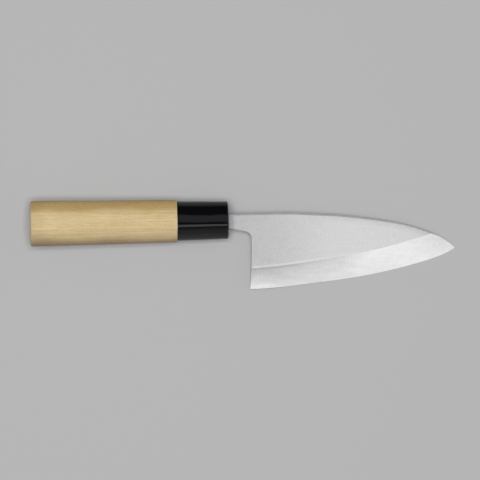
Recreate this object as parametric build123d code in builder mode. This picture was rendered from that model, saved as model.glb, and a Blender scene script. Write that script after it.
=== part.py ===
from build123d import *
import os
from math import atan2, degrees, radians, sqrt, tan

# A right-handed deba, ground on one side only. It is drawn in the knife's own directions, with its
# origin on the handle's axis at the front of the ferrule: X runs to the tip, Y to the spine and Z
# from the hollow back to the bevelled face. At the end it is laid down as it rests on a board.
# All lengths are in millimetres.

# Blade outline
blade_length = 120.9
neck_length = 12.65
heel_height = 44.4
tip_drop = 22.2
spine_above_axis = 3.25
neck_height = 7.6
neck_flare = 2.8
neck_dip = 0.3
neck_dip_start = 4.2
heel_lean = 0.95
heel_hollow = 0.5
choil_radius = 4.6

# Blade thickness and grind
heel_thickness = 4.4
distal_taper = 1.9
face_fall = 0.3
edge_land = 0.12
heel_bevel_width = 12.7
tip_bevel_width = 15.6
spine_chamfer = 0.4
edge_layer = 1.2
edge_layer_start = 5.0
back_rim = 2.0
grinding_radius = 460.0

# Tang
tang_length = 78.0
tang_shoulder = 0.4
tang_end_height = 3.4
tang_end_thickness = 2.4

# Handle and ferrule
wood_length = 85.6
butt_height = 26.5
wood_front_height = 24.7
butt_rounding = 1.3
wood_front_chamfer = 0.3
ferrule_length = 30.0
ferrule_step = 0.7
ferrule_front_height = 22.1
ferrule_wall = 1.8
ferrule_front_wall = 2.0
ferrule_front_rounding = 0.9
ferrule_rear_chamfer = 0.25
seal_width = 1.3
window_rounding = 1.5

# Fits
tenon_gap = 0.05
tenon_end_gap = 0.3
slot_gap = 0.2
slot_end_gap = 2.0
overrun = 2.0

# How it lies on a board
nose_down_angle = 1.97
edge_down_angle = 6.74

# Shape of the outline. Each row holds a place along the blade from heel to tip, how far the edge
# has risen there towards the tip, and how far the spine has dropped.
outline_shares = (
    (0.15, 0.038, 0.0),
    (0.30, 0.123, 0.035),
    (0.45, 0.217, 0.095),
    (0.60, 0.343, 0.200),
    (0.75, 0.519, 0.352),
    (0.87, 0.694, 0.560),
    (0.95, 0.850, 0.772),
    (1.00, 1.000, 1.000),
)
tip_edge_slope_share = 0.65
tip_spine_slope_share = 1.0
hollow_start_share = 0.34

# Shape of the handle's section, as shares of its height: six arcs, each tangent to the next, that
# make a round back and two slightly crowned flanks up to a soft ridge on the face
thickness_share = 0.87
back_depth_share = 0.418
side_radius_share = 0.31
flank_radius_share = 1.3
ridge_radius_share = 0.11
ridge_place_share = 0.06

# Places that follow from the sizes
back_z = -heel_thickness / 2
heel_x = neck_length
heel_y = spine_above_axis - heel_height
tip_x = heel_x + blade_length
tip_y = spine_above_axis - tip_drop
edge_rise = heel_height - tip_drop
neck_bottom = spine_above_axis - neck_height
neck_middle = spine_above_axis - neck_height / 2
neck_end = -ferrule_front_wall
wood_front = -ferrule_length
butt_end = wood_front - wood_length
tang_end = neck_end - tang_length
choil_corner = (heel_x + heel_lean, neck_bottom - neck_flare)
heel_corner = (heel_x, heel_y)

# Points of the edge and of the spine
stations = [heel_x + along * blade_length for along, rise, drop in outline_shares]
edge_line = [heel_y + rise * edge_rise for along, rise, drop in outline_shares]
spine_line = [spine_above_axis - drop * tip_drop for along, rise, drop in outline_shares]


def face_z(x, y):
    """Height of the flat face, which thins towards the tip and a little towards the edge."""
    along = (x - heel_x) / blade_length
    down = (spine_above_axis - y) / heel_height
    return back_z + heel_thickness - distal_taper * along - face_fall * down


def bevel_ruling(x, y):
    """One straight line of the bevel, from below the edge to above the ridge line."""
    along = (x - heel_x) / blade_length
    width = heel_bevel_width + (tip_bevel_width - heel_bevel_width) * along
    foot = Vector(x, y, back_z + edge_land)
    head = Vector(x, y + width, face_z(x, y + width))
    reach = (head - foot).normalized() * overrun
    return foot - reach, head + reach


def hollow_section(x, low, high):
    """Shallow arc that a large grinding wheel leaves in the back at one place."""
    depth = (high - low) ** 2 / (8 * grinding_radius)
    with BuildSketch(Plane.YZ.offset(x)) as section:
        with BuildLine():
            ThreePointArc((low, back_z), ((low + high) / 2, back_z + depth), (high, back_z))
            Polyline(
                (high, back_z),
                (high, back_z - overrun),
                (low, back_z - overrun),
                (low, back_z),
            )
        make_face()
    return section.sketch


def flank_centre(side, ridge, to_side, to_ridge):
    """Centre of a flank's arc, from how far it lies from the side's and the ridge's centres."""
    gap = ridge - side
    along = (to_side**2 - to_ridge**2 + gap.length**2) / 2 / gap.length
    across = sqrt(to_side**2 - along**2)
    return side + gap.normalized() * along + gap.normalized().rotate(Axis.Z, 90) * across


def bearing(start, end):
    """Direction from one centre to another, where one arc hands over to the next."""
    return degrees(atan2(end.Y - start.Y, end.X - start.X))


def handle_section(x, height, inset=0):
    """Section of the handle, drawn in by the inset on all sides, or grown where it is negative."""
    back_depth = height * back_depth_share
    side_radius = height * side_radius_share
    flank_radius = height * flank_radius_share
    ridge_radius = height * ridge_radius_share
    spine_side = Vector(height / 2 - side_radius, 0)
    edge_side = -spine_side
    ridge = Vector(
        -height * ridge_place_share, height * thickness_share - back_depth - ridge_radius
    )
    reaches = (flank_radius - side_radius, flank_radius - ridge_radius)
    spine_flank = flank_centre(spine_side, ridge, *reaches)
    edge_flank = flank_centre(spine_side, Vector(-ridge.X, ridge.Y), *reaches)
    edge_flank = Vector(-edge_flank.X, edge_flank.Y)
    back_radius = (spine_side.X**2 + back_depth**2 - side_radius**2) / (back_depth - side_radius) / 2
    back = Vector(0, back_radius - back_depth)
    arcs = (
        (back, back_radius, bearing(back, edge_side), bearing(back, spine_side)),
        (spine_side, side_radius, bearing(back, spine_side), bearing(spine_flank, spine_side)),
        (spine_flank, flank_radius, bearing(spine_flank, spine_side), bearing(spine_flank, ridge)),
        (ridge, ridge_radius, bearing(spine_flank, ridge), bearing(edge_flank, ridge)),
        (edge_flank, flank_radius, bearing(edge_flank, ridge), bearing(edge_flank, edge_side)),
        (edge_side, side_radius, bearing(edge_flank, edge_side), bearing(back, edge_side) + 360),
    )
    with BuildSketch(Plane.YZ.offset(x)) as section:
        with BuildLine():
            for centre, radius, start, end in arcs:
                CenterArc(centre, radius - inset, start, end - start)
        make_face()
    return section.sketch


def tang_section(x, height, thickness):
    """Rectangular section of the tang, or of the slot that takes it."""
    with BuildSketch(Plane.YZ.offset(x)) as section:
        with Locations((neck_middle, 0)):
            Rectangle(height, thickness)
    return section.sketch


# The whole blade before its two steels are told apart: outline, flat face, bevel, hollow back
with BuildPart() as blade:
    with BuildSketch(Plane.XY.offset(back_z)) as blade_outline:
        with BuildLine():
            Line((neck_end, spine_above_axis), (stations[0], spine_above_axis))
            Spline(
                list(zip(stations, spine_line)),
                tangents=((1, 0), (1, -tip_spine_slope_share)),
            )
            Spline(
                [heel_corner] + list(zip(stations, edge_line)),
                tangents=((1, 0), (1, tip_edge_slope_share)),
            )
            heel_back_middle = (
                (heel_corner[0] + choil_corner[0]) / 2 + heel_hollow,
                (heel_corner[1] + choil_corner[1]) / 2,
            )
            ThreePointArc(heel_corner, heel_back_middle, choil_corner)
            Polyline(
                choil_corner,
                (0, neck_bottom),
                (neck_end, neck_bottom),
                (neck_end, spine_above_axis),
            )
        make_face()
        fillet(blade_outline.vertices().sort_by_distance(choil_corner)[0], choil_radius)
    extrude(amount=heel_thickness + overrun)

    # The flat face, thinner towards the tip
    neck_top = face_z(neck_dip_start, spine_above_axis)
    flat_face = Plane(
        origin=(neck_dip_start, spine_above_axis, neck_top),
        z_dir=(distal_taper / blade_length, -face_fall / heel_height, 1),
    )
    split(bisect_by=flat_face, keep=Keep.BOTTOM)

    # The corner of the spine, eased up to where the bevel's ridge line runs into it
    spine_corner_points = [
        (heel_x, spine_above_axis, face_z(heel_x, spine_above_axis)),
        (stations[2], spine_line[2], face_z(stations[2], spine_line[2])),
    ]
    spine_corner = [blade.edges().sort_by_distance(point)[0] for point in spine_corner_points]
    chamfer(spine_corner, spine_chamfer)

    # The neck, which dips from the flat face to the ferrule
    neck_face = Plane(
        origin=(neck_dip_start, spine_above_axis, neck_top),
        z_dir=(-neck_dip / neck_dip_start, -face_fall / heel_height, 1),
    )
    split(bisect_by=neck_face, keep=Keep.BOTTOM)

    # The bevel, a ruled surface from the edge up to the ridge line
    run_on = (tip_x + overrun, tip_y + overrun * tip_edge_slope_share)
    run_in = (heel_x - overrun, heel_y)
    rulings = [
        bevel_ruling(x, y)
        for x, y in [run_in, heel_corner] + list(zip(stations, edge_line)) + [run_on]
    ]
    with BuildLine(mode=Mode.PRIVATE) as bevel_foot:
        Spline([foot for foot, head in rulings])
    with BuildLine(mode=Mode.PRIVATE) as bevel_head:
        Spline([head for foot, head in rulings])
    bevel_surface = Face.make_surface_from_curves(bevel_foot.edge(), bevel_head.edge())
    extrude(
        to_extrude=bevel_surface,
        amount=heel_thickness + overrun,
        dir=(0, 0, 1),
        mode=Mode.SUBTRACT,
    )

    # The hollow in the back, which leaves a flat rim and runs out at the heel
    hollow_sections = [
        hollow_section(heel_x - overrun, heel_y + back_rim, heel_y + heel_height * hollow_start_share)
    ]
    for x, low, high in list(zip(stations, edge_line, spine_line))[:-1]:
        hollow_sections.append(hollow_section(x, low + back_rim, high - back_rim))
    loft(sections=hollow_sections, mode=Mode.SUBTRACT)

# The room that the hard layer takes up along the back of the blade
with BuildPart() as layer_room:
    with Locations((edge_layer_start, spine_above_axis + overrun, back_z - overrun)):
        Box(
            tip_x + overrun - edge_layer_start,
            heel_height + 2 * overrun,
            edge_layer + overrun,
            align=(Align.MIN, Align.MAX, Align.MIN),
        )

# The hard layer that carries the edge and the back
with BuildPart() as edge_steel:
    add(blade.part)
    add(layer_room.part, mode=Mode.INTERSECT)

# The soft iron body with the neck and the tang
with BuildPart() as blade_body:
    add(blade.part)
    add(layer_room.part, mode=Mode.SUBTRACT)
    tang_root_height = neck_height - 2 * tang_shoulder
    tang_root_thickness = heel_thickness - 2 * tang_shoulder
    loft(
        sections=[
            tang_section(neck_end, tang_root_height, tang_root_thickness),
            tang_section(tang_end, tang_end_height, tang_end_thickness),
        ]
    )

# The window in the ferrule's front wall, which the neck goes through
with BuildSketch(Plane.YZ) as window:
    with Locations((neck_middle, 0)):
        RectangleRounded(
            neck_height + 2 * seal_width, heel_thickness + 2 * seal_width, window_rounding
        )

# The moulded ferrule, a tapered cap with a pocket for the tenon. Its taper grows and draws in the
# section at its middle evenly on all sides.
ferrule_rear_height = wood_front_height - 2 * ferrule_step
ferrule_middle_height = (ferrule_rear_height + ferrule_front_height) / 2
ferrule_inset = (ferrule_rear_height - ferrule_front_height) / 4
pocket_height = ferrule_front_height - 2 * ferrule_wall
with BuildPart() as ferrule:
    loft(
        sections=[
            handle_section(wood_front, ferrule_middle_height, -ferrule_inset),
            handle_section(0, ferrule_middle_height, ferrule_inset),
        ],
        ruled=True,
    )
    fillet(ferrule.faces().sort_by(Axis.X)[-1].edges(), ferrule_front_rounding)
    chamfer(ferrule.faces().sort_by(Axis.X)[0].edges(), ferrule_rear_chamfer)
    extrude(
        to_extrude=handle_section(neck_end, pocket_height),
        amount=-ferrule_length,
        mode=Mode.SUBTRACT,
    )
    extrude(
        to_extrude=window.sketch,
        amount=-ferrule_front_wall - overrun,
        mode=Mode.SUBTRACT,
    )

# The seal, run in round the neck and flush with both sides of the ferrule's front wall
with BuildPart() as mouth_seal:
    extrude(to_extrude=window.sketch, amount=-ferrule_front_wall)
    add(blade_body.part, mode=Mode.SUBTRACT)

# The wooden grip with its tenon and the slot for the tang, tapered in the same way
wood_middle_height = (butt_height + wood_front_height) / 2
wood_inset = (butt_height - wood_front_height) / 4
tenon_front = neck_end - tenon_end_gap
with BuildPart() as wood_handle:
    loft(
        sections=[
            handle_section(butt_end, wood_middle_height, -wood_inset),
            handle_section(wood_front, wood_middle_height, wood_inset),
        ],
        ruled=True,
    )
    fillet(wood_handle.faces().sort_by(Axis.X)[0].edges(), butt_rounding)
    chamfer(wood_handle.faces().sort_by(Axis.X)[-1].edges(), wood_front_chamfer)
    extrude(
        to_extrude=handle_section(tenon_front, pocket_height - 2 * tenon_gap),
        amount=wood_front - tenon_front,
    )
    loft(
        sections=[
            tang_section(
                neck_end,
                tang_root_height + 2 * slot_gap,
                tang_root_thickness + 2 * slot_gap,
            ),
            tang_section(
                tang_end - slot_end_gap,
                tang_end_height + 2 * slot_gap,
                tang_end_thickness + 2 * slot_gap,
            ),
        ],
        mode=Mode.SUBTRACT,
    )

# The knife lies on its back, on the belly of its edge and the front edge of the wood, turned by the
# two angles at which its weight balances on them.
nose_slope = tan(radians(nose_down_angle))
edge_slope = tan(radians(edge_down_angle))
board = Plane(origin=(0, 0, 0), x_dir=(1, 0, nose_slope), z_dir=(-nose_slope, edge_slope, 1))
pieces = [blade_body, edge_steel, ferrule, mouth_seal, wood_handle]
for piece in pieces:
    piece.part.locate(board.location.inverse())
bounds = Compound([piece.part for piece in pieces]).bounding_box()
to_origin = Location((-bounds.center().X, -bounds.center().Y, -bounds.min.Z))
for piece in pieces:
    piece.part.move(to_origin)

blade_body.part.label = "blade_body"
edge_steel.part.label = "edge_steel"
ferrule.part.label = "ferrule"
mouth_seal.part.label = "mouth_seal"
wood_handle.part.label = "wood_handle"

os.makedirs("parts", exist_ok=True)
export_step(blade_body.part, "parts/blade_body.step")
export_step(edge_steel.part, "parts/edge_steel.step")
export_step(ferrule.part, "parts/ferrule.step")
export_step(mouth_seal.part, "parts/mouth_seal.step")
export_step(wood_handle.part, "parts/wood_handle.step")
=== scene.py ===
"""The looks of a small right-handed deba: its laminated blade, wooden grip and moulded ferrule."""

import logging
import math
from dataclasses import dataclass
from enum import Enum
from typing import Callable, Mapping, NamedTuple, Optional, Sequence, Union

import bmesh
import bpy
from mathutils import Matrix, Vector


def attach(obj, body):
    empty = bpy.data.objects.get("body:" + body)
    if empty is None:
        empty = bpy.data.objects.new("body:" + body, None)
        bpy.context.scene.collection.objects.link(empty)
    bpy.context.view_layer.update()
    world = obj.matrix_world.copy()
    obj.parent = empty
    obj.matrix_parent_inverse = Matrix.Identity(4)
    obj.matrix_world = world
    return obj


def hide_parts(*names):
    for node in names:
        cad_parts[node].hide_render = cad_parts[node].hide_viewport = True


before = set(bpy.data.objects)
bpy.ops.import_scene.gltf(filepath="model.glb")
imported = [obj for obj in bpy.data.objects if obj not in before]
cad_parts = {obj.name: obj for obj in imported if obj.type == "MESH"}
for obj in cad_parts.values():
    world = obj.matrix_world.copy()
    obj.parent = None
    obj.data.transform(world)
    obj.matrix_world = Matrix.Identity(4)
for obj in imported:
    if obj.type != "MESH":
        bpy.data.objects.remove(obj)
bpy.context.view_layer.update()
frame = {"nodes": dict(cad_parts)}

LOG = logging.getLogger("deba")
MM = 0.001
# Sockets of a Mix node that are for colours
COLOUR_A, COLOUR_B, COLOUR_OUT = 6, 7, 2

Colour = tuple[float, float, float, float]
Node = bpy.types.Node
Piece = bpy.types.Object
Socket = bpy.types.NodeSocket
Feed = Union["Value", Socket, float, Sequence[float], bpy.types.Material]


def srgb(*channels: float) -> Colour:
    """Turn a colour as seen on a screen into a linear one.

    Args:
        channels: Red, green and blue, 0 to 255.

    Returns:
        The linear colour with full alpha.
    """
    shares = [channel / 255 for channel in channels]
    linear = [s / 12.92 if s <= 0.04045 else ((s + 0.055) / 1.055) ** 2.4 for s in shares]
    return (*linear, 1.0)


def shown(name: str, data: bpy.types.ID) -> Piece:
    """Put a new object in the scene.

    Args:
        name: Its name.
        data: Its mesh, light or camera.

    Returns:
        The object.
    """
    made = bpy.data.objects.new(name, data)
    bpy.context.scene.collection.objects.link(made)
    return made


@dataclass(frozen=True)
class Lay:
    """How the knife lies: its own frame has X to the tip, Y to the spine, Z to the bevelled face.

    The tip and the edge are so many degrees down, and the origin is where the front of the
    ferrule's axis comes to lie, in millimetres.
    """

    nose_down: float = 1.97
    edge_down: float = 6.74
    origin: tuple[float, float, float] = (-8.7645, 13.9147, 9.2336)

    def turn(self) -> Matrix:
        """Work out how the knife is turned.

        Returns:
            The rotation from the knife's own frame to the frame it lies in.
        """
        nose = math.tan(math.radians(self.nose_down))
        edge = math.tan(math.radians(self.edge_down))
        along = Vector((1, 0, nose)).normalized()
        up = Vector((-nose, edge, 1)).normalized()
        return Matrix((along, up.cross(along), up))

    def matrix(self) -> Matrix:
        """Return the move from the knife's own frame in millimetres to the row frame in metres."""
        turned = self.turn().to_4x4() @ Matrix.Scale(MM, 4)
        return Matrix.Translation(Vector(self.origin) * MM) @ turned


LAY = Lay()


def maths(operation: str, swapped: bool = False) -> Callable[..., "Value"]:
    """Make a method of Value that adds one Math node.

    Args:
        operation: The node's operation.
        swapped: Whether the other number comes before the value itself.

    Returns:
        The method, which takes the other number where the operation has one.
    """

    def method(self: "Value", other: Feed = 0.0) -> "Value":
        """Return the result of the operation on this value and another number."""
        feeds = {0: other, 1: self} if swapped else {0: self, 1: other}
        return self.bench.out(self.bench.node("ShaderNodeMath", {"operation": operation}, feeds))

    return method


class Value:
    """A number given by a node, which takes part in Python arithmetic by adding Math nodes."""

    __add__ = __radd__ = maths("ADD")
    __sub__ = maths("SUBTRACT")
    __rsub__ = maths("SUBTRACT", swapped=True)
    __mul__ = __rmul__ = maths("MULTIPLY")
    __truediv__ = maths("DIVIDE")
    __rtruediv__ = maths("DIVIDE", swapped=True)
    __pow__ = maths("POWER")
    above = maths("GREATER_THAN")
    least = maths("MINIMUM")
    most = maths("MAXIMUM")
    absolute = maths("ABSOLUTE")
    bearing = maths("ARCTAN2")
    floor = maths("FLOOR")
    remainder = maths("MODULO")
    sine = maths("SINE")
    cosine = maths("COSINE")
    SMOOTH = {"interpolation_type": "SMOOTHSTEP"}

    def __init__(self, bench: "Bench", socket: Socket) -> None:
        """Wrap a socket of a bench's tree."""
        self.bench = bench
        self.socket = socket

    def held(self) -> "Value":
        """Return self held between 0 and 1."""
        return self.most(0.0).least(1.0)

    def rise(self, start: float, end: float) -> "Value":
        """Return a smooth step of self from 0 at start to 1 at end."""
        feeds = {"Value": self, "From Min": start, "From Max": end}
        return self.bench.out(self.bench.node("ShaderNodeMapRange", self.SMOOTH, feeds))

    def fall(self, start: float, end: float) -> "Value":
        """Return a smooth step of self from 1 at start down to 0 at end."""
        return 1.0 - self.rise(start, end)

    def bell(self, middle: Feed, width: float) -> "Value":
        """Return 1 at the middle, falling off smoothly over the width on both sides."""
        away = (self - middle) / width
        return 1.0 / (1.0 + away * away * away * away)

    def curve(self, terms: Sequence[float]) -> "Value":
        """Work out a polynomial of self.

        Args:
            terms: Its terms, from the constant one up.

        Returns:
            Its value.
        """
        total = self * terms[-1] + terms[-2]
        for term in reversed(terms[:-2]):
            total = self * total + term
        return total


class Grain(NamedTuple):
    """Soft noise of a finish.

    Args:
        stretch: How many grains there are to a millimetre along X, Y and Z.
        detail: How many finer layers are added.
        seed: Which noise of the kind it is.
    """

    stretch: tuple[float, float, float]
    detail: float
    seed: float


def mixed(grains: Mapping[str, Value], shares: Mapping[str, float]) -> Value:
    """Return how far some grains are from their middle, each times its share, added up."""
    return sum(share * (grains[name] - 0.5) for name, share in shares.items())


class Bench:
    """A node tree under construction, for a finish or for a shape."""

    def __init__(self, tree: bpy.types.NodeTree) -> None:
        """Empty a tree to start on."""
        self.tree = tree
        self.tree.nodes.clear()

    def node(
        self,
        kind: str,
        settings: Optional[Mapping[str, object]] = None,
        feeds: Optional[Mapping[Union[int, str], Feed]] = None,
    ) -> Node:
        """Add a node.

        Args:
            kind: The node's type.
            settings: Its settings, set before its sockets.
            feeds: What goes into its sockets, by name or number: a value, a link or a constant.

        Returns:
            The new node.
        """
        made = self.tree.nodes.new(kind)
        for name, setting in (settings or {}).items():
            setattr(made, name, setting)
        for name, feed in (feeds or {}).items():
            source = feed.socket if isinstance(feed, Value) else feed
            if isinstance(source, Socket):
                self.tree.links.new(source, made.inputs[name])
            else:
                made.inputs[name].default_value = source
        return made

    def out(self, node: Node, name: Union[int, str] = 0) -> Value:
        """Return one of a node's outputs as a value."""
        return Value(self, node.outputs[name])

    def coordinate(self, name: str) -> Socket:
        """Return one of the texture coordinates."""
        return self.node("ShaderNodeTexCoord").outputs[name]

    def vector(self, operation: str, first: Feed, second: Feed) -> Socket:
        """Return the vector result of a Vector Math node."""
        made = self.node("ShaderNodeVectorMath", {"operation": operation}, {0: first, 1: second})
        return made.outputs["Vector"]

    def facing(self, way: Vector) -> Value:
        """Return how far a surface faces a direction: 1 straight at it, and -1 away from it."""
        feeds = {0: self.coordinate("Normal"), 1: way}
        return self.out(
            self.node("ShaderNodeVectorMath", {"operation": "DOT_PRODUCT"}, feeds), "Value"
        )

    def scaled(self, vector: Feed, factor: Feed) -> Socket:
        """Return a vector times a number."""
        feeds = {0: vector, "Scale": factor}
        return self.node("ShaderNodeVectorMath", {"operation": "SCALE"}, feeds).outputs["Vector"]

    def joined(self, x: Feed, y: Feed, z: Feed) -> Socket:
        """Return a vector made of three numbers."""
        return self.node("ShaderNodeCombineXYZ", feeds={0: x, 1: y, 2: z}).outputs[0]

    def parts(self, vector: Feed) -> tuple[Value, Value, Value]:
        """Return the three numbers of a vector."""
        made = self.node("ShaderNodeSeparateXYZ", feeds={0: vector})
        return self.out(made, 0), self.out(made, 1), self.out(made, 2)

    def noise(self, place: Feed, scale: float, detail: float, seed: Feed) -> Value:
        """Return soft noise from 0 to 1, whose scale is its number of grains to a unit of place."""
        feeds = {"Vector": place, "W": seed, "Scale": scale, "Detail": detail, "Roughness": 0.55}
        return self.out(self.node("ShaderNodeTexNoise", {"noise_dimensions": "4D"}, feeds))

    def grains(self, place: Feed, kinds: Mapping[str, Grain]) -> dict[str, Value]:
        """Return a finish's soft noises by name, over a place in millimetres."""
        return {
            name: self.noise(self.vector("MULTIPLY", place, stretch), 1.0, detail, seed)
            for name, (stretch, detail, seed) in kinds.items()
        }

    def blend(self, factor: Feed, first: Feed, second: Feed, way: str = "MIX") -> Socket:
        """Return the first colour with a share of the second blended in, in a way of Blender's."""
        made = self.node(
            "ShaderNodeMix",
            {"data_type": "RGBA", "blend_type": way},
            {0: factor, COLOUR_A: first, COLOUR_B: second},
        )
        return made.outputs[COLOUR_OUT]

    def layered(self, base: Feed, layers: Sequence[tuple[Feed, Feed]]) -> Feed:
        """Lay colours over a colour, one after another.

        Args:
            base: The colour underneath.
            layers: How much there is of each colour, and the colour.

        Returns:
            The colour that shows.
        """
        for share, colour in layers:
            base = self.blend(share, base, colour)
        return base

    def shaded(self, colour: Feed, value: Value) -> Socket:
        """Return a colour made darker or lighter by a value round 1."""
        return self.blend(1.0, colour, self.joined(value, value, value), "MULTIPLY")

    def place(self) -> Socket:
        """Work out where the surface is in the knife's own frame.

        Returns:
            The place, in millimetres.
        """
        back = LAY.turn().transposed()
        feeds = {
            "Vector": self.coordinate("Object"),
            "Location": -(back @ Vector(LAY.origin)),
            "Rotation": back.to_euler("XYZ"),
            "Scale": (1 / MM,) * 3,
        }
        return self.node("ShaderNodeMapping", {"vector_type": "POINT"}, feeds).outputs[0]

    def surface(
        self, feeds: Mapping[str, Feed], relief: Feed, strength: float, distance: float
    ) -> Node:
        """Add a shader with a relief.

        Args:
            feeds: What goes into the shader's sockets.
            relief: How high the surface stands.
            strength: How much of that shows.
            distance: How high a relief of 1 is, in metres.

        Returns:
            The shader node.
        """
        raised = {"Strength": strength, "Distance": distance, "Height": relief}
        feeds = {**feeds, "Normal": self.node("ShaderNodeBump", feeds=raised).outputs[0]}
        return self.node("ShaderNodeBsdfPrincipled", feeds=feeds)


class Finish:
    """What the finishes have in common: they turn a bench into a material for a piece."""

    name: str

    def shade(self, bench: Bench) -> Node:
        """Add the shader of this finish.

        Args:
            bench: The material's bench.

        Returns:
            The shader node.
        """
        raise NotImplementedError

    def material(self) -> bpy.types.Material:
        """Make a material with this finish.

        Returns:
            The new material.
        """
        made = bpy.data.materials.new(self.name)
        made.use_nodes = True
        bench = Bench(made.node_tree)
        shader = self.shade(bench)
        bench.node("ShaderNodeOutputMaterial", feeds={"Surface": shader.outputs[0]})
        return made


@dataclass(frozen=True)
class BladeLines:
    """Lines of the blade that its finish follows, in millimetres of the knife's own frame.

    The blade tapers in thickness to the tip and falls a little to the heel's foot. The layer is
    where the hard steel begins and ends showing on the bevel, through the thickness. The ridge and
    the spine are terms of curves over the share of the way from the heel to the tip.
    """

    heel: float = 12.65
    length: float = 120.9
    height: float = 44.4
    thickness: float = 4.4
    taper: float = 1.9
    fall: float = 0.3
    layer: tuple[float, float] = (-1.45, -0.55)
    ridge: tuple[float, ...] = (-28.47, 5.81, 26.37, -29.06, 21.14)
    spine: tuple[float, ...] = (3.25, 0.0, -9.31, 0.0, 0.0, -11.14)

    def face_up(self) -> Vector:
        """Return the direction that the flat face looks in, as the knife lies."""
        slopes = Vector((self.taper / self.length, -self.fall / self.height, 1))
        return LAY.turn() @ slopes.normalized()


@dataclass(frozen=True)
class GroundSteel(Finish):
    """Satin-ground steel, with hairlines along the blade and a misty bevel.

    The bevel's colour is that at the ridge line by the heel, and the bright one shows where the
    bevel is polished most, partly as painted reflection. The neck's colour is painted shade, shown
    in part where the neck enters the ferrule. The narrow sides are rougher than the face by their
    own roughness, and their lighter colour is painted light that offsets the shaded floor they
    reflect.
    """

    name: str
    face_colour: Colour = srgb(202, 202, 203)
    bevel_colour: Colour = srgb(200, 200, 201)
    bright_colour: Colour = srgb(233, 233, 234)
    back_colour: Colour = srgb(206, 206, 208)
    side_painted_light: Colour = srgb(244, 244, 245)
    neck_shade_colour: Colour = srgb(154, 152, 160)
    neck_shade_share: float = 0.8
    metallic: float = 0.82
    face_roughness: float = 0.36
    bevel_roughness: float = 0.33
    side_roughness: float = 0.3
    least_roughness: float = 0.29
    lines: BladeLines = BladeLines()

    GRAINS = {
        "hairs": Grain((0.05, 2.6, 0.6), 2.0, 3.0),
        "fine": Grain((0.25, 6.5, 2.0), 1.0, 5.0),
        "satin": Grain((1.3, 0.5, 0.8), 3.0, 6.0),
        "cloud": Grain((0.07, 0.12, 0.12), 3.0, 7.0),
        "mist": Grain((0.08, 0.3, 0.3), 4.0, 9.0),
        "speck": Grain((2.2, 1.6, 1.6), 2.0, 12.0),
    }
    TONE = {"hairs": 0.14, "fine": 0.10, "satin": 0.30, "speck": 0.30, "cloud": 0.14}
    ROUGHNESS = {"hairs": 0.12, "satin": 0.08, "cloud": 0.06}
    RELIEF = {"hairs": 0.5, "fine": 0.4, "satin": 0.3}
    FACE_RANGE = (0.9955, 0.9985)
    BEVEL_RANGE = (0.85, 0.93)
    BACK_RANGE = (1.2, 1.7)

    def shade(self, bench: Bench) -> Node:
        """Add satin steel with its hairlines, mist and ridge line.

        Args:
            bench: The material's bench.

        Returns:
            The shader node.
        """
        blade = self.lines
        place = bench.place()
        x, y, z = bench.parts(place)
        grains = bench.grains(place, self.GRAINS)
        cloud, mist = grains["cloud"] - 0.5, grains["mist"] - 0.5

        # Which side of the blade this is, by how far it is turned away from the flat face
        facing = bench.facing(blade.face_up())
        face = facing.rise(*self.FACE_RANGE)
        bevel = facing.rise(*self.BEVEL_RANGE) * (1.0 - face)
        back = (1.0 - facing).rise(*self.BACK_RANGE)
        side = (1.0 - face - bevel - back).held()

        # How far along, how high in the thickness, and how far from the ridge line
        along = ((x - blade.heel) / blade.length).held()
        thickness = (blade.thickness - blade.fall) - blade.taper * along
        height = ((z + blade.thickness / 2) / thickness).held()
        below = y - along.curve(blade.ridge)
        layer = (z + 0.5 * mist).fall(*blade.layer)

        # The bevel's polish, with painted reflection, is brightest by the edge, and by the ridge
        # past the middle
        patchy = along + 0.12 * cloud
        by_ridge = 0.3 * patchy.rise(0.12, 0.32) + 0.7 * patchy.rise(0.38, 0.62)
        by_ridge = by_ridge * (1.0 - 0.7 * patchy.rise(0.74, 1.05))
        by_edge = 0.36 + 0.46 * patchy.rise(0.25, 0.8) + 0.74 * patchy.fall(0.0, 0.2)
        low = (1.0 - height + 0.2 * mist).rise(0.2, 0.95)
        polish_and_reflection = (by_ridge + (by_edge - by_ridge) * low + 0.4 * mist).held()

        # A painted highlight on the ridge and painted shade under it, both fading towards the tip
        line = 0.18 * below.bell(0.55, 0.6) * face
        line = line - 0.14 * below.bell(-0.7, 0.8) * (1.0 - face)
        line = line - 0.06 * below.rise(-7.0, -0.5) * bevel
        # Painted light and shade on the flat face: lighter a little past the middle, darker towards
        # the heel and the tip, by the spine past the middle, and by the neck
        by_spine = (along.curve(blade.spine) - y).fall(-0.5, 5.0) * along.rise(0.2, 0.5)
        face_light_and_shade = 0.28 * along.bell(0.59, 0.37) - 0.185 - 0.15 * by_spine - 0.03 * x.fall(6.0, 15.0)

        layers = (
            (bevel, bench.blend(polish_and_reflection, self.bevel_colour, self.bright_colour)),
            (back, self.back_colour),
            # Painted shade on the neck where it enters the ferrule
            ((x + cloud).fall(2.2, 5.0) * self.neck_shade_share, self.neck_shade_colour),
            # The narrow sides lightened with painted light
            (side, self.side_painted_light),
        )
        strength = (
            1.035
            + mixed(grains, self.TONE)
            + face_light_and_shade * face
            + 0.16 * mist * bevel
            + line * along.fall(0.15, 0.6)
        )
        rough = (
            self.face_roughness
            + (self.bevel_roughness - self.face_roughness - 0.03 * layer) * bevel
            + mixed(grains, self.ROUGHNESS)
            + self.side_roughness * side
        )
        feeds = {
            "Base Color": bench.shaded(bench.layered(self.face_colour, layers), strength),
            "Metallic": self.metallic,
            "Roughness": rough.most(self.least_roughness),
        }
        return bench.surface(feeds, mixed(grains, self.RELIEF), strength=0.12, distance=0.00004)


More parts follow.
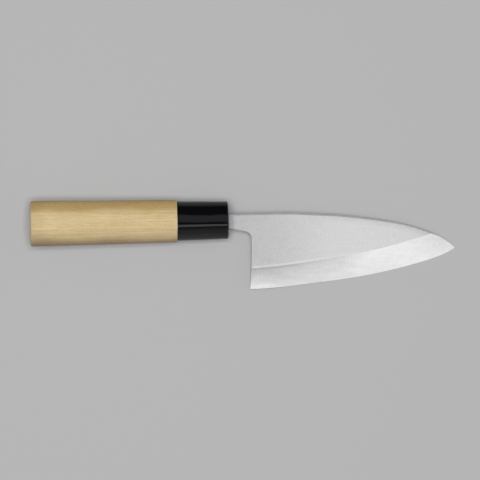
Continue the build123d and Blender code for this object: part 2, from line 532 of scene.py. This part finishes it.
@dataclass(frozen=True)
class Magnolia(Finish):
    """Bare sanded magnolia, pale with fine streaks along the grip and a darker upper side.

    The heartwood colour, with painted shade, lies along the spine side, a painted shade colour
    along the edge side, and the rim's colour shows in part on the eased ends. Lengths are in
    millimetres of the knife's own frame: the width of a growth ring, how far the pith is below and
    behind the grip, and the grip's ends.
    The rays have so many grains to a millimetre out from the pith, and to a radian round it.
    """

    name: str = "magnolia_wood"
    pale: Colour = srgb(226, 204, 159)
    streak: Colour = srgb(196, 170, 121)
    heart_and_shade: Colour = srgb(180, 151, 97)
    underside_shade: Colour = srgb(158, 135, 105)
    rim: Colour = srgb(222, 206, 168)
    rim_share: float = 0.3
    roughness: float = 0.58
    gloss: float = 0.3
    ring_width: float = 2.3
    pith: tuple[float, float] = (38.0, 46.0)
    pith_slope: float = 0.02
    ray_stretch: tuple[float, float] = (0.12, 70.0)
    grip_rear: float = -115.6
    grip_front: float = -30.0

    GRAINS = {
        "drift": Grain((0.02, 0.08, 0.08), 2.0, 1.0),
        "streaks": Grain((0.022, 1.1, 1.1), 4.0, 2.0),
        "flecks": Grain((0.16, 2.6, 2.6), 3.0, 4.0),
        "fibre": Grain((0.5, 9.0, 9.0), 2.0, 5.0),
        "speckle": Grain((0.6, 1.0, 1.0), 3.0, 7.0),
        "pores": Grain((0.7, 7.0, 7.0), 1.0, 6.0),
        "patches": Grain((0.05, 0.14, 0.14), 3.0, 8.0),
        "wave": Grain((0.05, 0.0, 0.0), 1.0, 11.0),
        "figure": Grain((0.012, 0.35, 0.35), 3.0, 13.0),
        "dots": Grain((0.0, 4.5, 4.5), 1.0, 17.0),
    }
    LONG_GRAIN = {
        "streaks": 1.1, "flecks": 1.3, "figure": 0.6, "rings": 0.12, "fibre": 0.35, "speckle": 2.2
    }
    END_GRAIN = {"rings": 0.5, "rays": 0.5, "speckle": 0.4}
    BANDS = {"wave": 5.0, "streaks": 2.4, "flecks": 1.6}
    TONE = {"patches": 0.22, "fibre": 0.10, "speckle": 0.55}
    RELIEF = {"fibre": 0.5, "flecks": 0.4, "streaks": 0.4}

    def shade(self, bench: Bench) -> Node:
        """Add sanded wood with rings, streaks, flecks, pores and two darker sides.

        Args:
            bench: The material's bench.

        Returns:
            The shader node.
        """
        place = bench.place()
        x, y, z = bench.parts(place)
        grains = bench.grains(place, self.GRAINS)
        end_on = bench.facing(LAY.turn() @ Vector((1, 0, 0))).absolute().rise(0.8, 0.97)
        pores = grains["pores"].rise(0.62, 0.76)
        dots = grains["dots"].rise(0.6, 0.74)
        wave = grains["wave"] - 0.5

        # Growth rings and the rays across them
        across = y + self.pith[0] + 3.0 * (grains["drift"] - 0.5)
        deep = z + self.pith[1] + self.pith_slope * x
        ring = (across * across + deep * deep) ** 0.5
        grains["rings"] = (ring * (math.tau / self.ring_width)).sine() * 0.5 + 0.5
        outwards, turned = self.ray_stretch
        around = bench.joined(ring * outwards, across.bearing(deep) * turned, 0.0)
        grains["rays"] = bench.noise(around, scale=1.0, detail=2.0, seed=15.0)

        # Streaks along the grip and the cut ends, then the bands on both sides: heartwood with
        # painted shade on the spine side, painted shade on the edge side
        streaked = (0.42 + mixed(grains, self.LONG_GRAIN)).held() * (1.0 - end_on)
        streaked = (streaked + (0.62 + mixed(grains, self.END_GRAIN)) * end_on).held()
        bands = y + mixed(grains, self.BANDS)
        heart_and_shade = bands.rise(4.0, 10.4) * 0.5 + bands.rise(6.8, 9.4) * 0.4
        underside_shade = (bands + 1.2 * (grains["patches"] - 0.5)).fall(-12.0, -6.0)
        mark = y.bell(-7.1 + 1.4 * wave, 0.3) * x.rise(-72.0, -62.0) * x.fall(-34.0, -27.0)
        rear = x.fall(self.grip_rear + 0.35, self.grip_rear + 1.0)
        ends = rear.most(x.rise(self.grip_front - 0.7, self.grip_front - 0.3))

        layers = (
            (streaked, self.streak),
            (heart_and_shade, self.heart_and_shade),
            (underside_shade, self.underside_shade),
            (ends * self.rim_share, self.rim),
        )
        strength = (
            1.0
            + mixed(grains, self.TONE)
            - 0.13 * mark
            # Painted shade darkens the grip towards the butt
            - 0.09 * x.fall(self.grip_rear, self.grip_rear + 12.0)
            - 0.10 * pores * (1.0 - ends) * (1.0 - end_on)
            - (0.05 + 0.12 * dots) * end_on
        )
        feeds = {
            "Base Color": bench.shaded(bench.layered(self.pale, layers), strength),
            "Roughness": self.roughness + 0.14 * (grains["flecks"] - 0.5) + 0.1 * pores,
            "Specular IOR Level": self.gloss,
        }
        relief = mixed(grains, self.RELIEF) - pores * 0.8 - dots * end_on * 0.8
        return bench.surface(feeds, relief, strength=0.3, distance=0.00008)


@dataclass(frozen=True)
class MouldedGloss(Finish):
    """Glossy black moulded plastic with the faint haze of handling, half of whose colour shows."""

    name: str = "black_moulding"
    colour: Colour = (0.0008, 0.0008, 0.0014, 1.0)
    hazy_colour: Colour = (0.0024, 0.0024, 0.0042, 1.0)
    roughness: float = 0.11
    ior: float = 1.5

    GRAINS = {
        "haze": Grain((0.18, 0.3, 0.3), 3.0, 2.0),
        "flow": Grain((0.07, 0.2, 0.2), 1.0, 4.0),
        "hairs": Grain((0.3, 8.0, 8.0), 2.0, 6.0),
    }

    def shade(self, bench: Bench) -> Node:
        """Add gloss with faint hairlines and flow marks.

        Args:
            bench: The material's bench.

        Returns:
            The shader node.
        """
        grains = bench.grains(bench.place(), self.GRAINS)
        haze = grains["haze"]
        worn = grains["hairs"].rise(0.68, 0.8)
        feeds = {
            "Base Color": bench.blend(0.5 * haze, self.colour, self.hazy_colour),
            "Roughness": self.roughness + 0.08 * (haze - 0.5) + 0.1 * worn,
            "IOR": self.ior,
        }
        return bench.surface(feeds, grains["flow"] + worn * 0.02, strength=0.2, distance=0.0004)


@dataclass(frozen=True)
class SealWax(Finish):
    """Dark matt seal run in round the neck, with so many lumps to a millimetre."""

    name: str = "dark_seal"
    colour: Colour = (0.006, 0.0055, 0.006, 1.0)
    lump_scale: float = 0.8

    def shade(self, bench: Bench) -> Node:
        """Add a matt skin with small lumps.

        Args:
            bench: The material's bench.

        Returns:
            The shader node.
        """
        lumps = bench.noise(bench.place(), self.lump_scale, detail=3.0, seed=1.0)
        feeds = {
            "Base Color": bench.shaded(self.colour, 0.7 + 0.6 * lumps),
            "Roughness": 0.4 + 0.2 * lumps,
        }
        return bench.surface(feeds, lumps, strength=0.4, distance=0.0001)


def dress(nodes: Mapping[str, Piece], name: str, finish: Finish) -> None:
    """Give a piece that keeps its CAD mesh its finish."""
    nodes[name].material_slots[0].material = finish.material()
    LOG.info("%s: %s", name, finish.name)


@dataclass
class Blade:
    """The laminated blade: a soft iron body and the hard layer that carries the edge."""

    body: str = "blade_body"
    layer: str = "edge_steel"
    iron: Finish = GroundSteel("soft_iron_satin")
    steel: Finish = GroundSteel("edge_steel_polished")

    def dress(self, nodes: Mapping[str, Piece]) -> None:
        """Give both steels their finish."""
        dress(nodes, self.body, self.iron)
        dress(nodes, self.layer, self.steel)


@dataclass(frozen=True)
class HandleSection:
    """Section of the handle: six arcs, each tangent to the next, in shares of its height.

    The height, in millimetres, is from the edge side to the spine side, and the thickness from the
    back to the ridge. The ridge lies to the edge side of the middle, and the back depth is from the
    handle's axis. The even share of the points is spread by length, and the rest by turn.
    """

    height: float
    thickness_share: float = 0.87
    back_depth_share: float = 0.418
    side_radius_share: float = 0.31
    flank_radius_share: float = 1.3
    ridge_radius_share: float = 0.11
    ridge_place_share: float = 0.06
    even_share: float = 0.5

    def arcs(self) -> list[tuple[Vector, float, float, float]]:
        """Work out the arcs of the outline.

        Returns:
            Each arc's centre, radius, and the bearings that it runs between, in radians.
        """
        deep = self.height * self.back_depth_share
        side = self.height * self.side_radius_share
        flank = self.height * self.flank_radius_share
        tip = self.height * self.ridge_radius_share
        spine_side = Vector((self.height / 2 - side, 0))
        edge_side = Vector((-spine_side.x, 0))
        ridge_up = self.height * self.thickness_share - deep - tip
        ridge = Vector((-self.height * self.ridge_place_share, ridge_up))
        flanks = []
        for crest in (ridge, Vector((-ridge.x, ridge.y))):
            gap = crest - spine_side
            difference = (flank - side) ** 2 - (flank - tip) ** 2
            along = (difference + gap.length_squared) / 2 / gap.length
            across = math.sqrt((flank - side) ** 2 - along**2)
            unit = gap.normalized()
            flanks.append(spine_side + unit * along + Vector((-unit.y, unit.x)) * across)
        spine_flank, edge_flank = flanks
        edge_flank.x = -edge_flank.x
        back_radius = (spine_side.x**2 + deep**2 - side**2) / (deep - side) / 2
        back = Vector((0, back_radius - deep))
        meetings = (
            (back, edge_side),
            (back, spine_side),
            (spine_flank, spine_side),
            (spine_flank, ridge),
            (edge_flank, ridge),
            (edge_flank, edge_side),
        )
        bearings = [math.atan2(end.y - start.y, end.x - start.x) for start, end in meetings]
        bearings.append(bearings[0] + math.tau)
        centres = (back, spine_side, spine_flank, ridge, edge_flank, edge_side)
        radii = (back_radius, side, flank, tip, flank, side)
        return list(zip(centres, radii, bearings, bearings[1:]))

    def ring(self, count: int) -> list[tuple[Vector, Vector]]:
        """Place points round the outline.

        Args:
            count: About how many there are, closer together where the outline turns more.

        Returns:
            Each point with its outward direction, both in the section's plane.
        """
        arcs = self.arcs()
        around = sum(radius * (end - start) for _, radius, start, end in arcs)
        points = []
        for centre, radius, start, end in arcs:
            by_length = self.even_share * radius * (end - start) / around
            by_turn = (1 - self.even_share) * (end - start) / math.tau
            steps = max(2, round(count * (by_length + by_turn)))
            for step in range(steps):
                turn = start + (end - start) * step / steps
                outward = Vector((math.cos(turn), math.sin(turn)))
                points.append((centre + outward * radius, outward))
        return points


@dataclass(frozen=True)
class RoundedOpening:
    """Outline of a rectangular opening with round corners, in the section's plane.

    It is so many millimetres along the blade's height and thickness, with its middle that far from
    the handle's axis towards the spine.
    """

    middle: float
    height: float
    thickness: float
    rounding: float

    def towards(self, point: Vector) -> Vector:
        """Find where the outline crosses the line from its middle to a point outside it.

        Args:
            point: The point outside.

        Returns:
            The place on the outline.
        """
        centre = Vector((self.middle, 0))
        way = (point - centre).normalized()
        ahead = Vector((abs(way.x), abs(way.y)))
        half = Vector((self.height / 2, self.thickness / 2))
        reach = min(h / a for h, a in zip(half, ahead) if a)
        corner = half - Vector((self.rounding, self.rounding))
        if ahead.x * reach > corner.x and ahead.y * reach > corner.y:
            near = ahead.dot(corner)
            reach = near + math.sqrt(near**2 - corner.length_squared + self.rounding**2)
        return centre + way * reach


class ShellTree:
    """Geometry Nodes tree that sweeps a ring along the handle and lines it with inner rings.

    Its base mesh is the ring half-way along, whose points carry their outward direction and
    their three inner points. Lengths are in millimetres of the knife's own frame.
    """

    CARRIED = ("outward", "first", "second", "third")
    INPUTS = {
        "NodeSocketGeometry": ("Ring",),
        "NodeSocketFloat": (
            *("Start", "Length", "Draw In", "Rear Rounding", "Front Rounding"),
            *("Inner Start", "Inner Middle", "Inner End", "Unevenness", "Seed"),
        ),
        "NodeSocketInt": ("Round Steps", "Long Steps"),
        "NodeSocketBool": ("Open Through",),
        "NodeSocketMaterial": ("Finish",),
    }
    VECTOR = {"data_type": "FLOAT_VECTOR"}
    INNER_STEPS = 5.0
    UNEVEN_STRETCH = (0.08, 0.12, 0.12)
    UNEVEN_RISE = 12.0
    WELD_DISTANCE = 0.002
    SHARP_ANGLE = 32

    def __init__(self) -> None:
        """Build the tree once, for every piece that uses it."""
        self.tree = bpy.data.node_groups.new("handle_shell", "GeometryNodeTree")
        face = self.tree.interface
        self.sockets = {}
        for kind, names in self.INPUTS.items():
            for name in names:
                made = face.new_socket(name, in_out="INPUT", socket_type=kind)
                self.sockets[name] = made.identifier
        face.new_socket("Shell", in_out="OUTPUT", socket_type="NodeSocketGeometry")
        self.bench = Bench(self.tree)
        self.given = self.bench.node("NodeGroupInput")
        self._build()

    def _numbers(self, *names: str) -> list[Value]:
        """Return some of the tree's inputs."""
        return [self.bench.out(self.given, name) for name in names]

    def _carried(self, name: str, index: Value) -> Socket:
        """Return a vector that the ring's point of an index carries."""
        stored = self.bench.node("GeometryNodeInputNamedAttribute", self.VECTOR, {"Name": name})
        return self._sampled(stored.outputs["Attribute"], index)

    def _sampled(self, field: Socket, index: Value) -> Socket:
        """Return a vector field of the ring at an index."""
        feeds = {"Geometry": self.given.outputs["Ring"], "Value": field, "Index": index}
        return self.bench.node("GeometryNodeSampleIndex", self.VECTOR, feeds).outputs["Value"]

    def _along(self, way: Socket, x: Feed) -> Socket:
        """Return a point of the section's plane moved to a place along the handle."""
        return self.bench.vector("ADD", way, self.bench.joined(x, 0.0, 0.0))

    def _moved(self, mesh: Socket, place: Socket) -> Socket:
        """Return a mesh with its points moved to a place."""
        feeds = {"Geometry": mesh, "Position": place}
        return self.bench.node("GeometryNodeSetPosition", feeds=feeds).outputs[0]

    def _together(self, *meshes: Socket) -> Socket:
        """Join meshes.

        Args:
            meshes: The meshes.

        Returns:
            All of them as one.
        """
        made = self.bench.node("GeometryNodeJoinGeometry")
        for mesh in meshes:
            self.tree.links.new(mesh, made.inputs[0])
        return made.outputs[0]

    def _end_ring(self, index: Value) -> Socket:
        """Work out the outline of the rear face, inside its rounding.

        Args:
            index: The point's index in the ring.

        Returns:
            Where the point lies.
        """
        start, draw_in, rounding = self._numbers("Start", "Draw In", "Rear Rounding")
        position = self.bench.node("GeometryNodeInputPosition").outputs[0]
        grown = self.bench.scaled(self._carried("outward", index), draw_in * 0.5 - rounding)
        return self._along(
            self.bench.vector("ADD", self._sampled(position, index), grown), start
        )

    def _build(self) -> None:
        """Lay out the sweep, its inner rings, its caps and its shading."""
        bench = self.bench
        ring = {"Geometry": self.given.outputs["Ring"]}
        size = bench.node("GeometryNodeAttributeDomainSize", {"component": "MESH"}, ring)
        count = bench.out(size, "Point Count")
        begin, length, draw_in, rear_rounding, front_rounding, *inner, unevenness, seed = (
            self._numbers(*self.INPUTS["NodeSocketFloat"])
        )
        start, turn, end = inner
        round_steps, long_steps = self._numbers(*self.INPUTS["NodeSocketInt"])
        (open_through,) = self._numbers(*self.INPUTS["NodeSocketBool"])
        last_outer = round_steps * 2.0 + long_steps
        last = last_outer + self.INNER_STEPS
        feeds = {
            "Size X": count,
            "Size Y": last,
            "Vertices X": count + 1.0,
            "Vertices Y": last + 1.0,
        }
        grid = bench.node("GeometryNodeMeshGrid", feeds=feeds)
        position = bench.node("GeometryNodeInputPosition").outputs[0]
        across, step, _ = bench.parts(position)
        index = (across + count * 0.5 + 0.5).floor().remainder(count)
        step = step + last * 0.5

        # The outer wall, from the rear rounding to the front rounding
        quarter = math.pi / 2
        rear = (step / round_steps).held() * quarter
        middle = ((step - round_steps) / long_steps).held()
        front = ((step - round_steps - long_steps) / round_steps).held() * quarter
        run = length - rear_rounding - front_rounding
        gone = rear_rounding * (1.0 - rear.cosine()) + run * middle + front_rounding * front.sine()
        inset = (
            rear_rounding * (1.0 - rear.sine())
            + front_rounding * (1.0 - front.cosine())
            + draw_in * (gone / length - 0.5)
        )
        outward = self._carried("outward", index)
        ring_point = self._sampled(position, index)
        stretched = bench.vector("MULTIPLY", self._along(ring_point, gone), self.UNEVEN_STRETCH)
        uneven = bench.noise(stretched, scale=1.0, detail=1.0, seed=seed)
        fading = (middle * (1.0 - middle) * self.UNEVEN_RISE).held()
        swell = (uneven - 0.5) * 2.0 * unevenness * fading - inset
        grown = bench.vector("ADD", ring_point, bench.scaled(outward, swell))
        outer = self._along(grown, gone + begin)

        # The inner wall, over the last five steps
        past = step - last_outer
        inner_x = start + (turn - start) * past.above(1.5) + (end - turn) * past.above(3.5)
        closing = past.above(4.5) * open_through
        shares = {
            "first": past.above(0.5) - past.above(2.5),
            "second": past.above(2.5) - past.above(3.5),
            "third": past.above(3.5) - closing,
        }
        place = bench.scaled(outer, 1.0 - past.above(0.5))
        for label, share in shares.items():
            ring_here = self._along(self._carried(label, index), inner_x)
            place = bench.vector("ADD", place, bench.scaled(ring_here, share))
        place = bench.vector("ADD", place, bench.scaled(self._end_ring(index), closing))
        swept = self._moved(grid.outputs["Mesh"], place)

        # The caps, where nothing runs right through, then the weld and the shading
        disc = bench.node("GeometryNodeMeshCircle", {"fill_type": "NGON"}, {"Vertices": count})
        here = bench.out(bench.node("GeometryNodeInputIndex"))
        bottom = self._along(self._carried("third", here), end)
        caps = [self._moved(disc.outputs[0], place) for place in (bottom, self._end_ring(here))]
        feeds = {"Switch": open_through, "False": self._together(*caps)}
        wanted = bench.node("GeometryNodeSwitch", {"input_type": "GEOMETRY"}, feeds)
        feeds = {
            "Geometry": self._together(swept, wanted.outputs[0]),
            "Distance": self.WELD_DISTANCE,
        }
        whole = bench.node("GeometryNodeMergeByDistance", feeds=feeds).outputs[0]
        smooth = bench.node("GeometryNodeSetShadeSmooth", {"domain": "FACE"}, {0: whole})
        angle = bench.out(bench.node("GeometryNodeInputMeshEdgeAngle"), "Unsigned Angle")
        feeds = {0: smooth.outputs[0], 1: angle.above(math.radians(self.SHARP_ANGLE)), 2: False}
        sharp = bench.node("GeometryNodeSetShadeSmooth", {"domain": "EDGE"}, feeds)
        real = bench.node("GeometryNodeRealizeInstances", feeds={0: sharp.outputs[0]})
        feeds = {"Geometry": real.outputs[0], "Material": self.given.outputs["Finish"]}
        dressed = bench.node("GeometryNodeSetMaterial", feeds=feeds)
        bench.node("NodeGroupOutput", feeds={0: dressed.outputs[0]})

    def sweep(
        self,
        name: str,
        ring: Sequence[tuple[Vector, Vector]],
        inner: Sequence[Sequence[Vector]],
        inputs: Mapping[str, object],
    ) -> Piece:
        """Sweep one piece and turn it into a plain mesh where it lies.

        Args:
            name: The piece's name.
            ring: Points of the outline with their outward directions.
            inner: The three inner rings, each with a point for each of the outline's.
            inputs: The tree's inputs by name.

        Returns:
            The piece.
        """
        base = bpy.data.meshes.new(name + "_ring")
        base.from_pydata([(0, point.x, point.y) for point, _ in ring], [], [])
        for label, vectors in zip(self.CARRIED, [[way for _, way in ring], *inner]):
            stored = base.attributes.new(label, "FLOAT_VECTOR", "POINT")
            flat = [number for v in vectors for number in (0.0, v.x, v.y)]
            stored.data.foreach_set("vector", flat)
        holder = shown(name + "_ring", base)
        shell = holder.modifiers.new("shell", "NODES")
        shell.node_group = self.tree
        for label, number in inputs.items():
            shell[self.sockets[label]] = number
        evaluated = holder.evaluated_get(bpy.context.evaluated_depsgraph_get())
        mesh = bpy.data.meshes.new_from_object(evaluated)
        holder.modifiers.remove(shell)
        bpy.data.objects.remove(holder)
        mesh.name = name
        for label in self.CARRIED:
            if label in mesh.attributes:
                mesh.attributes.remove(mesh.attributes[label])
        mesh.transform(LAY.matrix())
        tidy = bmesh.new()
        tidy.from_mesh(mesh)
        bmesh.ops.recalc_face_normals(tidy, faces=tidy.faces)
        tidy.to_mesh(mesh)
        tidy.free()
        return shown(name, mesh)


@dataclass
class Handle:
    """The wooden grip with its tenon and slot, and the ferrule over them with its seal.

    Lengths are in millimetres of the knife's own frame. The shoulder is where the wood meets the
    ferrule. The slot is given at the front of the tenon and at its far end.
    """

    grip_length: float = 85.6
    butt_height: float = 26.5
    shoulder_height: float = 24.7
    butt_rounding: float = 1.3
    shoulder_rounding: float = 0.35
    ferrule_length: float = 30.0
    ferrule_rear_height: float = 23.3
    ferrule_front_height: float = 22.1
    ferrule_rounding: float = 0.9
    ferrule_rear_rounding: float = 0.25
    ferrule_wall: float = 1.8
    ferrule_front_wall: float = 2.0
    tenon_gap: float = 0.05
    tenon_end_gap: float = 0.3
    window: RoundedOpening = RoundedOpening(-0.55, 10.2, 7.0, 1.5)
    slot: RoundedOpening = RoundedOpening(-0.55, 7.2, 4.0, 0.1)
    slot_far: RoundedOpening = RoundedOpening(-0.55, 3.8, 2.8, 0.1)
    slot_end: float = -82.0
    ring_points: int = 168
    wood: Finish = Magnolia()
    moulding: Finish = MouldedGloss()
    seal: str = "mouth_seal"
    wax: Finish = SealWax()

    def _outline(self, height: float) -> list[Vector]:
        """Return the points of the section of a height."""
        return [point for point, _ in HandleSection(height).ring(self.ring_points)]

    def build(self, tree: ShellTree) -> list[Piece]:
        """Sweep the grip and the ferrule.

        Args:
            tree: The shell tree that both are swept by.

        Returns:
            The two pieces.
        """
        pocket_height = self.ferrule_front_height - 2 * self.ferrule_wall
        tenon = self._outline(pocket_height - 2 * self.tenon_gap)
        middle_height = (self.butt_height + self.shoulder_height) / 2
        grip = tree.sweep(
            "grip",
            HandleSection(middle_height).ring(self.ring_points),
            [
                tenon,
                [self.slot.towards(point) for point in tenon],
                [self.slot_far.towards(point) for point in tenon],
            ],
            {
                "Start": -self.ferrule_length - self.grip_length,
                "Length": self.grip_length,
                "Draw In": (self.butt_height - self.shoulder_height) / 2,
                "Rear Rounding": self.butt_rounding,
                "Front Rounding": self.shoulder_rounding,
                "Inner Start": -self.ferrule_length,
                "Inner Middle": -self.ferrule_front_wall - self.tenon_end_gap,
                "Inner End": self.slot_end,
                "Unevenness": 0.02,
                "Seed": 3.0,
                "Round Steps": 6,
                "Long Steps": 60,
                "Open Through": False,
                "Finish": self.wood.material(),
            },
        )
        middle_height = (self.ferrule_rear_height + self.ferrule_front_height) / 2
        pocket = self._outline(pocket_height)
        mouth = [self.window.towards(point) for point in self._outline(middle_height)]
        cap = tree.sweep(
            "ferrule_cap",
            HandleSection(middle_height).ring(self.ring_points),
            [mouth, pocket, pocket],
            {
                "Start": -self.ferrule_length,
                "Length": self.ferrule_length,
                "Draw In": (self.ferrule_rear_height - self.ferrule_front_height) / 2,
                "Rear Rounding": self.ferrule_rear_rounding,
                "Front Rounding": self.ferrule_rounding,
                "Inner Start": 0.0,
                "Inner Middle": -self.ferrule_front_wall,
                "Inner End": -self.ferrule_length,
                "Unevenness": 0.07,
                "Seed": 8.0,
                "Round Steps": 7,
                "Long Steps": 48,
                "Open Through": True,
                "Finish": self.moulding.material(),
            },
        )
        return [grip, cap]

    def dress(self, nodes: Mapping[str, Piece]) -> None:
        """Give the seal its finish."""
        dress(nodes, self.seal, self.wax)

    def place(self, pieces: Sequence[Piece]) -> None:
        """Let the grip and the ferrule stand for their nodes.

        Args:
            pieces: The two pieces.
        """
        stands = (("wood_handle", "magnolia"), ("ferrule", "ferrule"))
        for piece, (node, slot) in zip(pieces, stands):
            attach(piece, "root")
            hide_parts(node)
            LOG.info("%s: %d faces", piece.name, len(piece.data.polygons))


class Reach(Enum):
    """What a soft light does: it lights the surfaces, or it shows in the gloss."""

    SURFACES = "surfaces"
    GLOSS = "gloss"


@dataclass
class SoftLight:
    """A rectangular studio light that points at the knife.

    It hangs so many metres away and so many degrees from straight up: its direction is towards +Y,
    and its swing towards +X. Its width is along X and its depth across. A radiance of 1 is white.
    """

    name: str
    direction: float
    depth: float
    radiance: float
    width: float = 1.6
    swing: float = 3.0
    distance: float = 1.7
    reach: Reach = Reach.GLOSS

    def build(self, target: Vector) -> None:
        """Hang the light so that it faces the target.

        Args:
            target: The place it faces.
        """
        lamp = bpy.data.lights.new(self.name, "AREA")
        lamp.shape = "RECTANGLE"
        lamp.size = self.width
        lamp.size_y = self.depth
        lamp.energy = self.radiance * math.pi * self.width * self.depth
        lean, swing = math.radians(self.direction), math.radians(self.swing)
        level = math.cos(swing)
        way = Vector((math.sin(swing), math.sin(lean) * level, math.cos(lean) * level))
        hung = shown(self.name, lamp)
        hung.location = target + way * self.distance
        hung.rotation_euler = way.to_track_quat("Z", "Y").to_euler()
        hung.visible_glossy = self.reach is Reach.GLOSS
        hung.visible_diffuse = self.reach is Reach.SURFACES
        LOG.info("light %s", self.name)


@dataclass
class Studio:
    """The floor, the soft lights and the camera above.

    The camera looks at the target, in millimetres of the knife's own frame, from straight above but
    for its offset towards the butt. Other places are in metres, and the roll is in degrees. The
    walls fade out upwards between two sines of the height, and the sky gets as bright as they are
    towards the knife's ends, between two squares of the sine.
    """

    target: tuple[float, float, float] = (6.84, -11.7, 1.0)
    camera_height: float = 2.6
    camera_offset: float = 0.062
    roll: float = 0.87
    lens: float = 333.3
    sensor: float = 36.0
    floor_side: float = 6.0
    floor_colour: Colour = srgb(186, 186, 187)
    light_target: tuple[float, float, float] = (0.0, 0.0, 0.01)
    sky: float = 0.05
    walls: float = 0.36
    wall_top: tuple[float, float] = (0.1, 0.45)
    end_start: tuple[float, float] = (0.12, 0.3)

    def build_floor(self) -> None:
        """Lay the floor."""
        mesh = bpy.data.meshes.new("floor")
        half = self.floor_side / 2
        corners = [(-half, -half, 0), (half, -half, 0), (half, half, 0), (-half, half, 0)]
        mesh.from_pydata(corners, [], [(0, 1, 2, 3)])
        paper = bpy.data.materials.new("floor_paper")
        paper.use_nodes = True
        bench = Bench(paper.node_tree)
        feeds = {"Base Color": self.floor_colour, "Roughness": 0.9, "Specular IOR Level": 0.1}
        shader = bench.node("ShaderNodeBsdfPrincipled", feeds=feeds)
        bench.node("ShaderNodeOutputMaterial", feeds={"Surface": shader.outputs[0]})
        mesh.materials.append(paper)
        floor = shown("floor", mesh)

    def build_lights(self) -> None:
        """Hang the lights and set the room's own glow."""
        lights = (
            SoftLight("far_box", direction=32.0, depth=0.5, radiance=0.38),
            SoftLight("main_box", direction=-15.0, depth=0.85, radiance=1.2),
            SoftLight("near_box", direction=-43.0, depth=0.8, radiance=1.15),
            SoftLight(
                "overhead",
                direction=0.0,
                depth=1.0,
                radiance=9.6,
                width=1.0,
                swing=-4.0,
                distance=1.9,
                reach=Reach.SURFACES,
            ),
        )
        for light in lights:
            light.build(Vector(self.light_target))
        world = bpy.data.worlds.new("room")
        world.use_nodes = True
        bench = Bench(world.node_tree)
        side, _, up = bench.parts(bench.coordinate("Generated"))
        bright = up.fall(*self.wall_top).most((side * side).rise(*self.end_start))
        feeds = {
            "Color": (1.0, 1.0, 1.0, 1.0),
            "Strength": self.sky + (self.walls - self.sky) * bright,
        }
        back = bench.node("ShaderNodeBackground", feeds=feeds)
        bench.node("ShaderNodeOutputWorld", feeds={"Surface": back.outputs[0]})
        bpy.context.scene.world = world

    def build_camera(self) -> None:
        """Hang the camera above the knife, turned as the picture is."""
        data = bpy.data.cameras.new("camera")
        data.sensor_width = self.sensor
        data.lens = self.lens
        camera = shown("camera", data)
        aim = LAY.matrix() @ Vector(self.target)
        place = aim + Vector((-self.camera_offset, 0, self.camera_height))
        roll = math.radians(self.roll)
        back = (place - aim).normalized()
        right = Vector((math.cos(roll), -math.sin(roll), 0))
        right = (right - back * right.dot(back)).normalized()
        turn = Matrix((right, back.cross(right), back)).transposed().to_4x4()
        camera.matrix_world = Matrix.Translation(place) @ turn
        bpy.context.scene.camera = camera

    def build(self) -> None:
        """Set up the whole studio."""
        self.build_floor()
        self.build_lights()
        self.build_camera()
        bpy.context.scene.view_settings.view_transform = "Standard"


def main() -> None:
    """Build and dress the knife, then the studio round it."""
    logging.basicConfig(level=logging.INFO, format="%(message)s")
    nodes = frame["nodes"]
    Blade().dress(nodes)
    handle = Handle()
    handle.dress(nodes)
    handle.place(handle.build(ShellTree()))
    Studio().build()


if __name__ == "__main__":
    main()
